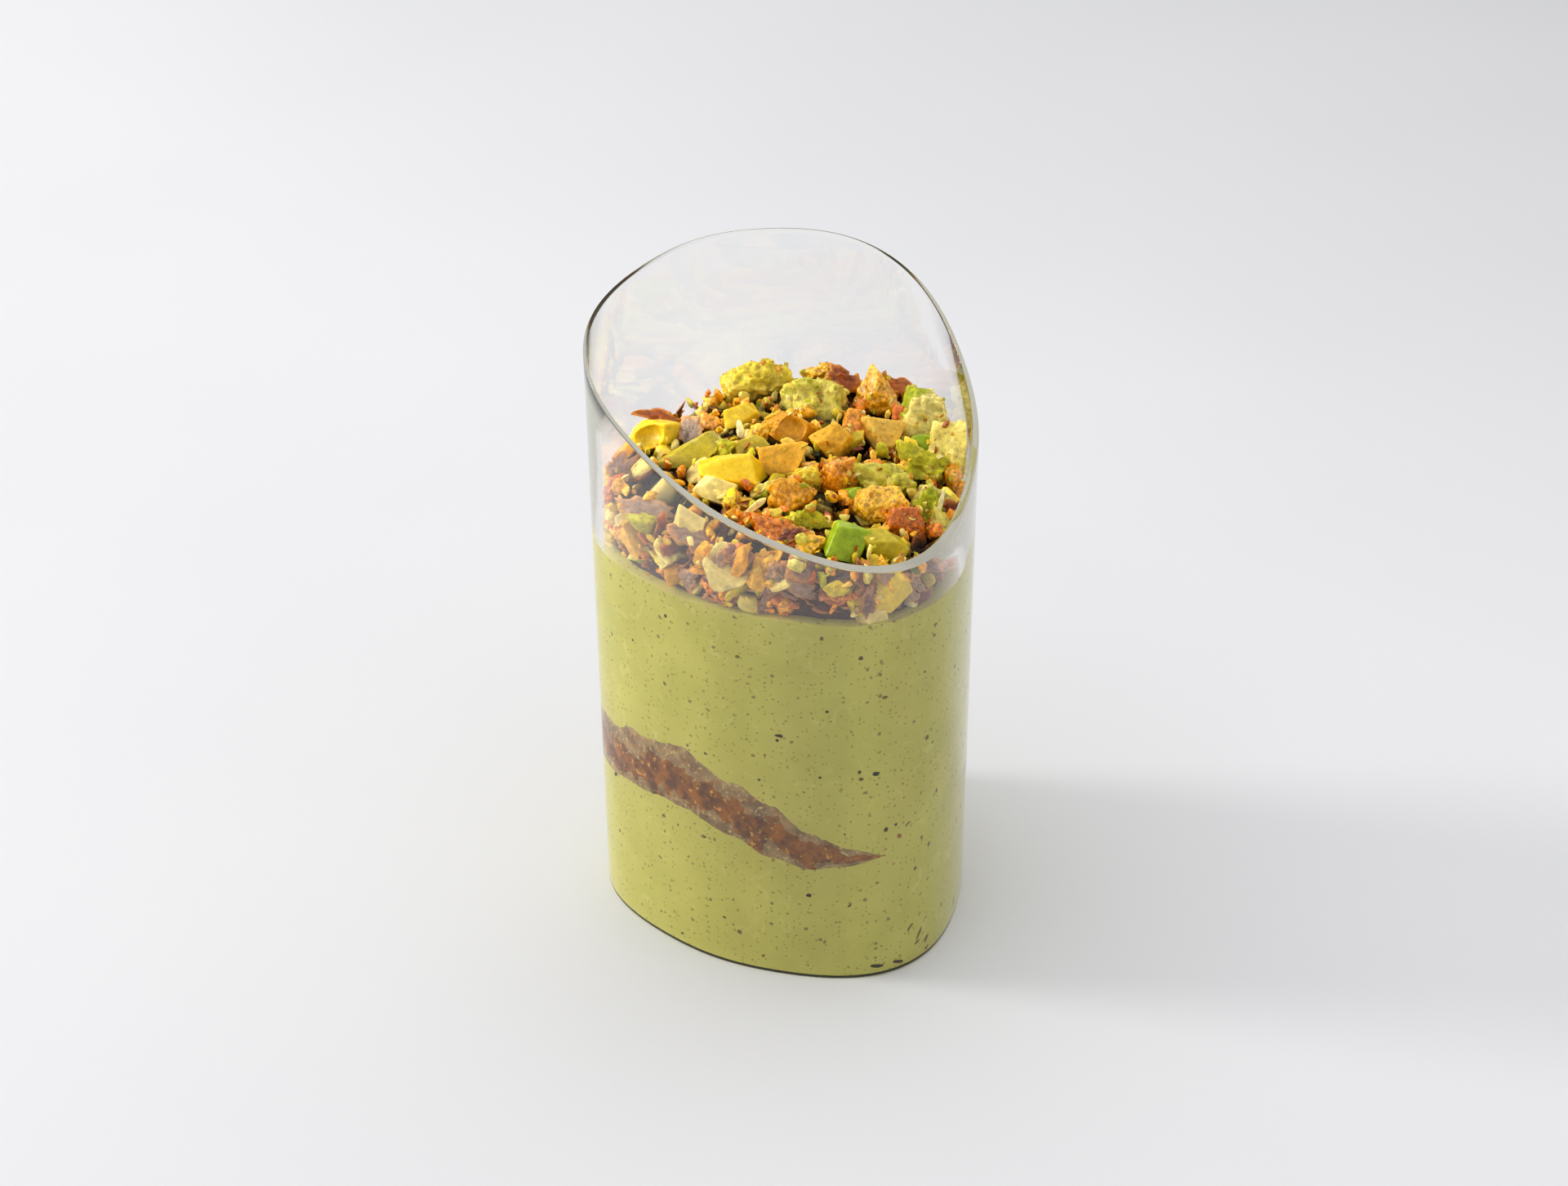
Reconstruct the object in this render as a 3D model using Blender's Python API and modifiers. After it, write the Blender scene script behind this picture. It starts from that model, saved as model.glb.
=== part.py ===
"""A clear cup of pistachio gelato: a slant-cut cup with a rounded three-cornered section, a cream that
fills it, a nut praline layer that runs through the cream, and a heap of chopped nuts on top.

Metres, +Z up. The origin is the centre of the cup's underside. The cup's low corner points to -Y and
its high flat side to +Y, so the cup is the same on both sides of the plane X = 0.
"""

from math import atan2, cos, hypot, pi, radians, sin, sqrt, tan
from random import Random

import bmesh
import bpy
from mathutils import Euler, Matrix, Vector

# The cup: its section is a circle swollen at three corners, and its mouth is a sloping plane
MEAN_RADIUS = 0.0247
CORNER_SWELL = 0.069
SIDE_FLATTEN = 0.012
LOW_CORNER = radians(-90)
DRAFT = radians(0.5)
WALL = 0.0013
RIM_HEIGHT_AT_AXIS = 0.0787
RIM_SLOPE = 0.469
RIM_ROUND = 0.0003
FOOT_ROUND = 0.0006
CUP_SEGMENTS = 96

# What lies in the cup keeps this gap to the cup and to its neighbours
GAP = 0.0003
FOOD_SEGMENTS = 72

# The cream fills the cup from its floor to a level line
CREAM_FLOOR = WALL + GAP
CREAM_LEVEL = 0.0580

# The praline layer at the wall: degrees round from +X, height of its underside, height of its upper side
LAYER_STATIONS = (
    (-260.0, 0.0210, 0.0295),
    (-225.0, 0.0200, 0.0285),
    (-199.0, 0.0215, 0.0313),
    (-182.0, 0.0225, 0.0330),
    (-164.0, 0.0230, 0.0345),
    (-144.0, 0.0210, 0.0313),
    (-130.0, 0.0186, 0.0289),
    (-118.0, 0.0179, 0.0247),
    (-105.0, 0.0189, 0.0221),
    (-95.3, 0.0201, 0.0203),
    (-72.0, 0.0199, 0.0205),
    (-50.0, 0.0195, 0.0231),
    (-10.0, 0.0200, 0.0275),
    (35.0, 0.0190, 0.0290),
    (100.0, 0.0210, 0.0295),
)
LAYER_CENTRE = (0.0220, 0.0280)
HIDDEN_FROM = -95.3
HIDDEN_TO = -50.0
HIDDEN_INSET = 0.0060
LAYER_EDGE = 0.0004
LAYER_GRAIN = 0.00035

# The heap of nuts: its top rises towards the high side of the cup and swells in the middle
HEAP_FLOOR = CREAM_LEVEL + GAP
HEAP_TOP = 0.0656
HEAP_RISE = 0.0012
HEAP_SWELL = 0.0024
HEAP_CORE_INSET = 0.0030
TOP_PIECES = 60
WALL_PIECES = 26
WALL_ROWS = 2
PIECE_LENGTH = (0.0050, 0.0092)
PIECE_WIDTH = (0.55, 0.85)
PIECE_HEIGHT = (0.42, 0.72)
PIECE_JITTER = 0.16
HEAP_SEED = 11

GOLDEN_ANGLE = pi * (3 - sqrt(5))


def clear_scene():
    for obj in list(bpy.data.objects):
        bpy.data.objects.remove(obj)


def new_collection(name):
    collection = bpy.data.collections.new(name)
    bpy.context.scene.collection.children.link(collection)
    return collection


def material(name, colour, roughness, metallic=0.0):
    made = bpy.data.materials.new(name)
    made.use_nodes = True
    shader = made.node_tree.nodes["Principled BSDF"]
    shader.inputs["Base Color"].default_value = (*colour, 1.0)
    shader.inputs["Roughness"].default_value = roughness
    shader.inputs["Metallic"].default_value = metallic
    made.diffuse_color = (*colour, 1.0)
    return made


def new_object(name, bm, collection, finish=None):
    mesh = bpy.data.meshes.new(name)
    bm.to_mesh(mesh)
    bm.free()
    obj = bpy.data.objects.new(name, mesh)
    collection.objects.link(obj)
    if finish:
        mesh.materials.append(finish)
    return obj


def section_radius(angle, height, inset=0.0):
    """How far the cup's outside is from its axis, less an inset."""
    turn = angle - LOW_CORNER
    shape = 1 + CORNER_SWELL * cos(3 * turn) + SIDE_FLATTEN * cos(6 * turn)
    return MEAN_RADIUS * shape + height * tan(DRAFT) - inset


def smooth_shade(obj, sharp_degrees=35):
    obj.data.shade_smooth()
    obj.data.set_sharp_from_angle(angle=radians(sharp_degrees))


def apply_modifiers(obj):
    """Turns what the modifiers make into the object's own mesh."""
    graph = bpy.context.evaluated_depsgraph_get()
    mesh = bpy.data.meshes.new_from_object(obj.evaluated_get(graph))
    obj.modifiers.clear()
    obj.data = mesh


def make_cutter(obj):
    obj.hide_render = True
    obj.display_type = "WIRE"


def make_cup(collection, cutters, finish):
    """An open drafted prism made solid inwards, with its mouth cut by a sloping plane."""
    top = RIM_HEIGHT_AT_AXIS + RIM_SLOPE * 2 * MEAN_RADIUS
    bm = bmesh.new()
    bmesh.ops.create_cone(
        bm, cap_ends=True, segments=CUP_SEGMENTS, radius1=1, radius2=1, depth=1
    )
    bmesh.ops.delete(
        bm, geom=[f for f in bm.faces if f.normal.z > 0.9], context="FACES_ONLY"
    )
    for vert in bm.verts:
        angle = atan2(vert.co.y, vert.co.x)
        height = top if vert.co.z > 0 else 0.0
        radius = section_radius(angle, height)
        vert.co = (radius * cos(angle), radius * sin(angle), height)
    cup = new_object("cup", bm, collection, finish)

    solid = cup.modifiers.new("wall", "SOLIDIFY")
    solid.thickness = WALL
    solid.offset = -1
    solid.use_even_offset = True

    bm = bmesh.new()
    bmesh.ops.create_cube(bm, size=6 * MEAN_RADIUS)
    tilt = Matrix.Rotation(atan2(RIM_SLOPE, 1), 4, "X")
    lift = Matrix.Translation((0, 0, RIM_HEIGHT_AT_AXIS))
    bm.transform(lift @ tilt @ Matrix.Translation((0, 0, 3 * MEAN_RADIUS)))
    slant = new_object("slant_cutter", bm, cutters)
    make_cutter(slant)
    mouth = cup.modifiers.new("mouth", "BOOLEAN")
    mouth.operation = "DIFFERENCE"
    mouth.object = slant
    apply_modifiers(cup)

    round_sharp_edges(cup)
    smooth_shade(cup)
    return cup


def round_sharp_edges(cup):
    """Rounds the outer edge of the foot and both edges of the rim."""
    bm = bmesh.new()
    bm.from_mesh(cup.data)
    bmesh.ops.remove_doubles(bm, verts=bm.verts, dist=1e-6)
    sharp = [e for e in bm.edges if len(e.link_faces) == 2 and e.calc_face_angle() > 0.8]
    foot = [e for e in sharp if max(v.co.z for v in e.verts) < 1e-6]
    rim = [e for e in sharp if min(v.co.z for v in e.verts) > CREAM_LEVEL]
    for edges, width in ((foot, FOOT_ROUND), (rim, RIM_ROUND)):
        bmesh.ops.bevel(
            bm, geom=edges, offset=width, segments=2, profile=0.5, affect="EDGES"
        )
    bm.to_mesh(cup.data)
    bm.free()


def puck(name, collection, finish, rows, radius_at, underside, upper_side):
    """A closed puck, from a sphere whose rows are spread over its side and its two faces.

    radius_at(angle, height) is its outline; underside and upper_side(angle, share) are its faces,
    where share runs from 0 on the axis to 1 at the outline.
    """
    bm = bmesh.new()
    bmesh.ops.create_uvsphere(
        bm, u_segments=FOOD_SEGMENTS, v_segments=rows, radius=1
    )
    for vert in bm.verts:
        angle = atan2(vert.co.y, vert.co.x)
        out = hypot(vert.co.x, vert.co.y)
        reach = max(out, abs(vert.co.z))
        share = out / reach
        rise = (vert.co.z / reach + 1) / 2
        low = underside(angle, share)
        high = upper_side(angle, share)
        height = low + (high - low) * rise
        radius = radius_at(angle, height) * share
        vert.co = (radius * cos(angle), radius * sin(angle), height)
    bmesh.ops.recalc_face_normals(bm, faces=bm.faces)
    return new_object(name, bm, collection, finish)


def between_stations(angle):
    """The praline layer's underside and upper side at the wall, eased from station to station."""
    degrees = angle * 180 / pi
    first = LAYER_STATIONS[0][0]
    while degrees < first:
        degrees += 360
    while degrees >= first + 360:
        degrees -= 360
    for (a, low_a, high_a), (b, low_b, high_b) in zip(LAYER_STATIONS, LAYER_STATIONS[1:]):
        if a <= degrees <= b:
            share = (degrees - a) / (b - a)
            ease = share * share * (3 - 2 * share)
            return low_a + (low_b - low_a) * ease, high_a + (high_b - high_a) * ease
    return LAYER_STATIONS[-1][1:]


def hidden_share(angle):
    """How far the cream covers the layer's edge: 0 where the layer meets the wall, 1 at most."""
    degrees = angle * 180 / pi
    if not HIDDEN_FROM < degrees < HIDDEN_TO:
        return 0.0
    return sin(pi * (degrees - HIDDEN_FROM) / (HIDDEN_TO - HIDDEN_FROM)) ** 0.5


def layer_face(side, grow, stretch):
    """One face of the layer: side 0 is its underside and 1 its upper side, moved out by grow.

    stretch is how many times wider than the layer the outline is, so that the slopes stay in place.
    """
    away = 1 if side else -1

    def height(angle, share):
        share *= stretch
        at_wall = between_stations(angle)[side] + away * LAYER_EDGE
        grain = LAYER_GRAIN * sin(9 * angle + 4 * side) * sin(pi * share)
        blend = share * share
        return LAYER_CENTRE[side] * (1 - blend) + at_wall * blend + grain + away * grow

    return height


def make_layer(name, collection, finish, grow=0.0, past_wall=0.0):
    """The praline layer, or with grow and past_wall the pocket that it leaves in the cream."""

    def radius_at(angle, height):
        inset = WALL + GAP + HIDDEN_INSET * hidden_share(angle) - grow - past_wall
        return section_radius(angle, height, inset)

    stretch = 1 + (grow + past_wall) / MEAN_RADIUS
    underside = layer_face(0, grow, stretch)
    upper_side = layer_face(1, grow, stretch)
    return puck(name, collection, finish, 12, radius_at, underside, upper_side)


def make_cream(collection, cutters, finish):
    """The cream to its level, with the pocket that the praline layer lies in."""
    cream = puck(
        "cream",
        collection,
        finish,
        8,
        lambda angle, height: section_radius(angle, height, WALL + GAP),
        lambda angle, share: CREAM_FLOOR,
        lambda angle, share: CREAM_LEVEL,
    )
    pocket = make_layer("pocket_cutter", cutters, None, grow=GAP, past_wall=2 * GAP)
    make_cutter(pocket)
    cut = cream.modifiers.new("pocket", "BOOLEAN")
    cut.operation = "DIFFERENCE"
    cut.object = pocket
    apply_modifiers(cream)
    smooth_shade(cream)
    return cream


def heap_surface(angle, share):
    """The top of the heap's core over a place in the cup."""
    rise = HEAP_RISE * share * sin(angle)
    return HEAP_TOP + rise + HEAP_SWELL * (1 - share * share)


def make_piece(index, centre, random, pieces):
    """One chopped piece of nut: an uneven lump with few sides, kept inside the cup and above the cream."""
    length = random.uniform(*PIECE_LENGTH)
    width = length * random.uniform(*PIECE_WIDTH)
    thickness = length * random.uniform(*PIECE_HEIGHT)
    turn = Euler([random.uniform(-0.6, 0.6), random.uniform(-0.6, 0.6), random.uniform(0, 2 * pi)])
    wall_inset = WALL + GAP + random.uniform(0.00005, 0.0003)
    floor = HEAP_FLOOR + random.uniform(0.00005, 0.0005)
    bm = bmesh.new()
    bmesh.ops.create_icosphere(bm, subdivisions=1, radius=0.5)
    for vert in bm.verts:
        uneven = 1 + random.uniform(-PIECE_JITTER, PIECE_JITTER)
        spot = Vector((vert.co.x * length, vert.co.y * width, vert.co.z * thickness)) * uneven
        spot.rotate(turn)
        spot += centre
        spot.z = max(spot.z, floor)
        angle = atan2(spot.y, spot.x)
        limit = section_radius(angle, spot.z, wall_inset)
        out = hypot(spot.x, spot.y)
        if out > limit:
            spot.x *= limit / out
            spot.y *= limit / out
        vert.co = spot
    bmesh.ops.delete(bm, geom=bm.edges[:], context="EDGES_FACES")
    hull = bmesh.ops.convex_hull(bm, input=bm.verts)
    inside = [v for v in hull["geom_interior"] if isinstance(v, bmesh.types.BMVert)]
    bmesh.ops.delete(bm, geom=inside, context="VERTS")
    bmesh.ops.recalc_face_normals(bm, faces=bm.faces)
    return new_object(f"piece_{index:03d}", bm, pieces)


def piece_places(random):
    """Where the pieces lie: a spiral over the top of the heap, then rows round its side."""
    for i in range(TOP_PIECES):
        share = sqrt((i + 0.5) / TOP_PIECES)
        angle = i * GOLDEN_ANGLE + random.uniform(-0.15, 0.15)
        height = heap_surface(angle, share) + random.uniform(-0.0004, 0.0014)
        radius = section_radius(angle, height, WALL + 0.0022) * share
        yield Vector((radius * cos(angle), radius * sin(angle), height))
    for row in range(WALL_ROWS):
        for i in range(WALL_PIECES):
            angle = 2 * pi * (i + 0.5 * row + random.uniform(-0.2, 0.2)) / WALL_PIECES
            top = heap_surface(angle, 1) - 0.0006
            level = (row + 0.5) / WALL_ROWS
            height = HEAP_FLOOR + (top - HEAP_FLOOR) * level + random.uniform(-0.0005, 0.0005)
            radius = section_radius(angle, height, WALL + random.uniform(0.0020, 0.0028))
            yield Vector((radius * cos(angle), radius * sin(angle), height))


def keep_largest_shell(obj):
    """Drops loose scraps, and fills hollows by dropping the shells that line them."""
    bm = bmesh.new()
    bm.from_mesh(obj.data)
    bmesh.ops.remove_doubles(bm, verts=bm.verts, dist=1e-6)
    unseen = set(bm.verts)
    shells = []
    while unseen:
        shell = {unseen.pop()}
        front = list(shell)
        while front:
            vert = front.pop()
            near = {e.other_vert(vert) for e in vert.link_edges} & unseen
            unseen -= near
            shell |= near
            front.extend(near)
        shells.append(shell)
    largest = max(shells, key=len)
    loose = [v for shell in shells if shell is not largest for v in shell]
    bmesh.ops.delete(bm, geom=loose, context="VERTS")
    bm.to_mesh(obj.data)
    bm.free()


def make_heap(collection, finish):
    """The heap of chopped nuts: a core with the pieces that show joined on."""
    heap = puck(
        "chopped_nuts",
        collection,
        finish,
        12,
        lambda angle, height: section_radius(angle, height, WALL + HEAP_CORE_INSET),
        lambda angle, share: HEAP_FLOOR,
        heap_surface,
    )
    pieces = new_collection("nut_pieces")
    random = Random(HEAP_SEED)
    for index, centre in enumerate(piece_places(random)):
        make_piece(index, centre, random, pieces)
    join = heap.modifiers.new("join", "BOOLEAN")
    join.operation = "UNION"
    join.solver = "MANIFOLD"
    join.operand_type = "COLLECTION"
    join.collection = pieces
    apply_modifiers(heap)
    for piece in list(pieces.objects):
        bpy.data.objects.remove(piece)
    bpy.data.collections.remove(pieces)
    keep_largest_shell(heap)
    heap.data.materials.clear()
    heap.data.materials.append(finish)
    return heap


def main():
    clear_scene()
    gelato = new_collection("gelato_cup")
    cutters = new_collection("cutters")
    clear_plastic = material("clear_plastic", (0.93, 0.94, 0.94), 0.03)
    pistachio_cream = material("pistachio_cream", (0.52, 0.50, 0.17), 0.45)
    praline = material("praline", (0.27, 0.14, 0.06), 0.40)
    nuts = material("chopped_pistachio", (0.58, 0.42, 0.07), 0.55)

    make_cup(gelato, cutters, clear_plastic)
    make_cream(gelato, cutters, pistachio_cream)
    layer = make_layer("praline_layer", gelato, praline)
    smooth_shade(layer)
    make_heap(gelato, nuts)


main()
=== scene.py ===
from math import atan2, cos, hypot, pi, radians, sin, sqrt, tan
from random import Random

import bmesh
import bpy
import numpy as np
from mathutils import Euler, Matrix, Vector, noise


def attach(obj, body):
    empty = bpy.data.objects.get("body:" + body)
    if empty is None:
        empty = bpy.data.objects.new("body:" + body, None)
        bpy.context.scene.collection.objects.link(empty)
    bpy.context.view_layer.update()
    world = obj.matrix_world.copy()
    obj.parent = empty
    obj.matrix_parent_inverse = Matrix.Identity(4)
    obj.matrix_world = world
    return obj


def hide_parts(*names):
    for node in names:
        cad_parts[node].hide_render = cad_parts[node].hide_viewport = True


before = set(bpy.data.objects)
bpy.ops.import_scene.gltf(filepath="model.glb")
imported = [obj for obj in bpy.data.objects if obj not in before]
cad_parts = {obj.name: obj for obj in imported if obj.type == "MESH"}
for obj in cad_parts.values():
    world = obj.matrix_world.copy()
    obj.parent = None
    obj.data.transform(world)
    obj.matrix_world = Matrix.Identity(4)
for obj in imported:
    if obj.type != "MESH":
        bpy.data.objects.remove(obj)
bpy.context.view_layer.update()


# The table and the light: a white paper table, a pale room and one large soft lamp at the left.
# The cup stands turned on the table, its low corner towards the right of the picture.

def add_node(tree, kind, sockets=(), **settings):
    """A node with its settings, and its inputs given as numbers, colours or other nodes' outputs."""
    node = tree.nodes.new(kind)
    for name, value in settings.items():
        setattr(node, name, value)
    for name, value in dict(sockets).items():
        if isinstance(value, bpy.types.NodeSocket):
            tree.links.new(value, node.inputs[name])
        else:
            node.inputs[name].default_value = value
    return node


def new_material(name, numbers):
    """A material whose shader has these plain inputs."""
    made = bpy.data.materials.new(name)
    made.use_nodes = True
    shader = made.node_tree.nodes["Principled BSDF"]
    for title, value in numbers.items():
        shader.inputs[title].default_value = value
    return made, made.node_tree, shader


def on_piece(tree):
    """The place on a piece, in its own coordinates."""
    return add_node(tree, "ShaderNodeTexCoord").outputs["Object"]


def cloud(tree, place, scale, detail=2.0, **more):
    """A soft noise of this scale."""
    sockets = {"Vector": place, "Scale": scale, "Detail": detail, **more}
    return add_node(tree, "ShaderNodeTexNoise", sockets).outputs["Fac"]


def stretch(tree, value, start, end, low=0.0, high=1.0):
    """Maps a value from one range to another, and holds it at the ends."""
    sockets = {"Value": value, "From Min": start, "From Max": end, "To Min": low, "To Max": high}
    return add_node(tree, "ShaderNodeMapRange", sockets).outputs["Result"]


def ramp(tree, value, *stops):
    """The colour for a value, from stops that each have a position and a colour."""
    node = add_node(tree, "ShaderNodeValToRGB", {"Fac": value})
    elements = node.color_ramp.elements
    for k, (position, colour) in enumerate(stops):
        stop = elements[k] if k < 2 else elements.new(position)
        stop.position = position
        stop.color = (*colour, 1)
    return node.outputs["Color"]


def blend(tree, factor, under, over, kind="MIX"):
    """One colour laid over another where the factor is high."""
    under, over = ((*c, 1) if isinstance(c, tuple) else c for c in (under, over))
    sockets = {"Factor": factor, "A": under, "B": over}
    return add_node(tree, "ShaderNodeMix", sockets, data_type="RGBA", blend_type=kind).outputs["Result"]


def new_piece(name, bm):
    """An object in the scene, made from a finished bmesh."""
    mesh = bpy.data.meshes.new(name)
    bm.to_mesh(mesh)
    bm.free()
    made = bpy.data.objects.new(name, mesh)
    bpy.context.collection.objects.link(made)
    return made


TABLE_SIZE = 3.0
TABLE_DROP = 0.00004
paper, tree, shader = new_material("table_paper", {"Roughness": 0.9, "Specular IOR Level": 0.1})
place = on_piece(tree)
tint = ramp(tree, cloud(tree, place, 9.0, 3.0), (0.3, (0.695, 0.698, 0.715)), (0.7, (0.720, 0.722, 0.735)))
# Painted shade: the paper's colour darkens away from the lamp, where the lamp's light falls off
far = add_node(tree, "ShaderNodeVectorMath", {0: place, 1: (0.95, 0.31, 0)}, operation="DOT_PRODUCT")
painted_falloff = stretch(tree, far.outputs["Value"], 0.10, 0.38, 1.0, 0.74)
tree.links.new(blend(tree, 1.0, tint, painted_falloff, "MULTIPLY"), shader.inputs["Base Color"])

bm = bmesh.new()
bmesh.ops.create_grid(bm, x_segments=2, y_segments=2, size=TABLE_SIZE / 2)
bmesh.ops.translate(bm, vec=(0, 0, -TABLE_DROP), verts=bm.verts)
table = new_piece("table", bm)
table.data.materials.append(paper)

CAMERA_PLACE = Vector((-0.22016, -0.35131, 0.32273))
CAMERA_RIGHT = Vector((0.84779, -0.53031, -0.0049))
CAMERA_UP = Vector((0.29732, 0.46763, 0.83242))
CAMERA_BACK = CAMERA_RIGHT.cross(CAMERA_UP)
camera_data = bpy.data.cameras.new("camera")
camera_data.lens = 84.9
camera_data.clip_start = 0.01
camera_data.clip_end = 10
camera = bpy.data.objects.new("camera", camera_data)
bpy.context.collection.objects.link(camera)
view_axes = Matrix((CAMERA_RIGHT, CAMERA_UP, CAMERA_BACK)).transposed()
camera.matrix_world = Matrix.Translation(CAMERA_PLACE) @ view_axes.to_4x4()
bpy.context.scene.camera = camera
bpy.context.scene.view_settings.view_transform = "Standard"

# In the picture's own directions: to the right, away from the camera, up
TO_RIGHT = Vector((CAMERA_RIGHT.x, CAMERA_RIGHT.y, 0)).normalized()
AWAY = Vector((-CAMERA_BACK.x, -CAMERA_BACK.y, 0)).normalized()
lamp_data = bpy.data.lights.new("soft_lamp", "AREA")
lamp_data.shape = "DISK"
lamp_data.size = 0.30
lamp_data.energy = 6.6
lamp_data.color = (1.0, 0.985, 0.955)
lamp = bpy.data.objects.new("soft_lamp", lamp_data)
bpy.context.collection.objects.link(lamp)
lamp.location = -1.10 * TO_RIGHT + 0.14 * AWAY + Vector((0, 0, 0.62))
lamp.rotation_euler = (lamp.location - Vector((0, 0, 0.04))).to_track_quat("Z", "Y").to_euler()

# The room: bright beyond the table and overhead, darker behind the camera
world = bpy.data.worlds.new("room")
world.use_nodes = True
bpy.context.scene.world = world
tree = world.node_tree
background = tree.nodes["Background"]
background.inputs["Color"].default_value = (0.985, 0.985, 1.0, 1)
bright_side = (AWAY * 0.80 - TO_RIGHT * 0.30 + Vector((0, 0, 0.62))).normalized()
direction = add_node(tree, "ShaderNodeTexCoord").outputs["Generated"]
facing = add_node(tree, "ShaderNodeVectorMath", {0: direction, 1: bright_side}, operation="DOT_PRODUCT")
strength = stretch(tree, facing.outputs["Value"], -1.0, 1.0, 0.32, 1.33)
tree.links.new(strength, background.inputs["Strength"])


# The cup: clear polystyrene in one moulding, a drafted shell on a rounded three-cornered section,
# its mouth cut by a sloping plane. A turned profile is pushed out to the section by Geometry Nodes.

MEAN_RADIUS = 0.02469
CORNER_SWELL = 0.069
SIDE_FLATTEN = 0.012
DRAFT = tan(radians(0.5))
WALL = 0.0013
FLOOR = 0.0003
RIM_HEIGHT = 0.07868
RIM_SLOPE = 0.469
CUP_SEGMENTS = 288
WALL_STEPS = 14
FOOT_ROUNDING = 0.0006
LIP_ROUNDING = 0.00032
INNER_ROUNDING = 0.0003


def wall_radius(angle, height, inset=0.0):
    """How far the outside of the cup is from its axis, less an inset."""
    turn = angle + pi / 2
    shape = 1 + CORNER_SWELL * cos(3 * turn) + SIDE_FLATTEN * cos(6 * turn)
    return MEAN_RADIUS * shape + height * DRAFT - inset


def rounded(corner, before, after, radius, steps=4):
    """Points round a corner of a profile, from the line before it to the line after it."""
    corner, before, after = Vector(corner), Vector(before), Vector(after)
    first = corner + (before - corner).normalized() * radius
    last = corner + (after - corner).normalized() * radius
    for i in range(steps + 1):
        t = i / steps
        point = first * (1 - t) ** 2 + corner * 2 * t * (1 - t) + last * t * t
        yield point.x, point.y


# The profile gives each point's inset from the outside and its height
foot, lip = (0, 0), (0, RIM_HEIGHT)
inner_lip, inner_foot = (WALL, RIM_HEIGHT), (WALL, FLOOR)
profile = [(0.030, 0.0), (0.016, 0.0)]
profile += rounded(foot, (0.01, 0), lip, FOOT_ROUNDING)
profile += [(0, RIM_HEIGHT * i / WALL_STEPS) for i in range(1, WALL_STEPS)]
profile += rounded(lip, foot, inner_lip, LIP_ROUNDING)
profile += rounded(inner_lip, lip, inner_foot, LIP_ROUNDING)
profile += [(WALL, RIM_HEIGHT * i / WALL_STEPS) for i in range(WALL_STEPS - 1, 0, -1)]
profile += rounded(inner_foot, inner_lip, (0.01, FLOOR), INNER_ROUNDING)
profile += [(0.016, FLOOR), (0.030, FLOOR)]

# A turned shell first, whose radius is TURNED_RADIUS less the inset
TURNED_RADIUS = 0.1
bm = bmesh.new()
ends = [bm.verts.new((TURNED_RADIUS - inset, 0, height)) for inset, height in profile]
for a, b in zip(ends, ends[1:]):
    bm.edges.new((a, b))
bmesh.ops.spin(
    bm, geom=bm.verts[:] + bm.edges[:], cent=(0, 0, 0), axis=(0, 0, 1),
    angle=2 * pi, steps=CUP_SEGMENTS, use_merge=True,
)
bmesh.ops.remove_doubles(bm, verts=bm.verts, dist=1e-6)
clear_cup = new_piece("clear_cup", bm)


def new_tree(name, *inputs):
    """A Geometry Nodes tree with named number inputs."""
    tree = bpy.data.node_groups.new(name, "GeometryNodeTree")
    tree.interface.new_socket("Geometry", in_out="INPUT", socket_type="NodeSocketGeometry")
    for title, value in inputs:
        kind = "NodeSocketInt" if isinstance(value, int) else "NodeSocketFloat"
        socket = tree.interface.new_socket(title, in_out="INPUT", socket_type=kind)
        socket.default_value = value
    tree.interface.new_socket("Geometry", in_out="OUTPUT", socket_type="NodeSocketGeometry")
    return tree, tree.nodes.new("NodeGroupInput"), tree.nodes.new("NodeGroupOutput")


def sums_in(tree):
    """A short way to write Math nodes in a tree."""

    def do(operation, *values):
        node = tree.nodes.new("ShaderNodeMath")
        node.operation = operation
        for socket, value in zip(node.inputs, values):
            if isinstance(value, (int, float)):
                socket.default_value = value
            else:
                tree.links.new(value, socket)
        return node.outputs[0]

    return do


def run_tree(obj, tree, **values):
    """Runs a tree on an object, with its inputs set, and keeps the result as the object's mesh."""
    modifier = obj.modifiers.new(tree.name, "NODES")
    modifier.node_group = tree
    for item in tree.interface.items_tree:
        title = item.name.lower().replace(" ", "_")
        if item.in_out == "INPUT" and title in values:
            modifier[item.identifier] = values[title]
    graph = bpy.context.evaluated_depsgraph_get()
    result = bpy.data.meshes.new_from_object(obj.evaluated_get(graph))
    obj.modifiers.clear()
    obj.data = result


clear_plastic, tree, shader = new_material(
    "clear_polystyrene", {"Base Color": (0.985, 0.99, 0.985, 1), "IOR": 1.5, "Transmission Weight": 1.0}
)
do = sums_in(tree)
place = on_piece(tree)
smear = cloud(tree, place, 60.0, 4.0)
tree.links.new(stretch(tree, smear, 0.55, 0.8, 0.015, 0.06), shader.inputs["Roughness"])
waves = cloud(tree, place, 35.0, 1.0)
ripple = add_node(tree, "ShaderNodeBump", {"Strength": 0.12, "Distance": 0.0006, "Height": waves})
tree.links.new(ripple.outputs["Normal"], shader.inputs["Normal"])
# A film of cream and fine crumbs hazes the wall beside the nuts
height = add_node(tree, "ShaderNodeSeparateXYZ", {"Vector": place}).outputs["Z"]
over_cream = stretch(tree, height, 0.0565, 0.0590)
under_mouth = stretch(tree, height, 0.0740, 0.0640, 0.0, 0.055)
hazed = do("MULTIPLY", do("MULTIPLY", over_cream, under_mouth), smear)
film = add_node(tree, "ShaderNodeBsdfDiffuse", {"Color": (0.80, 0.64, 0.64, 1)}).outputs["BSDF"]
filmed = add_node(tree, "ShaderNodeMixShader", {"Fac": hazed, 1: shader.outputs["BSDF"], 2: film})
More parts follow.
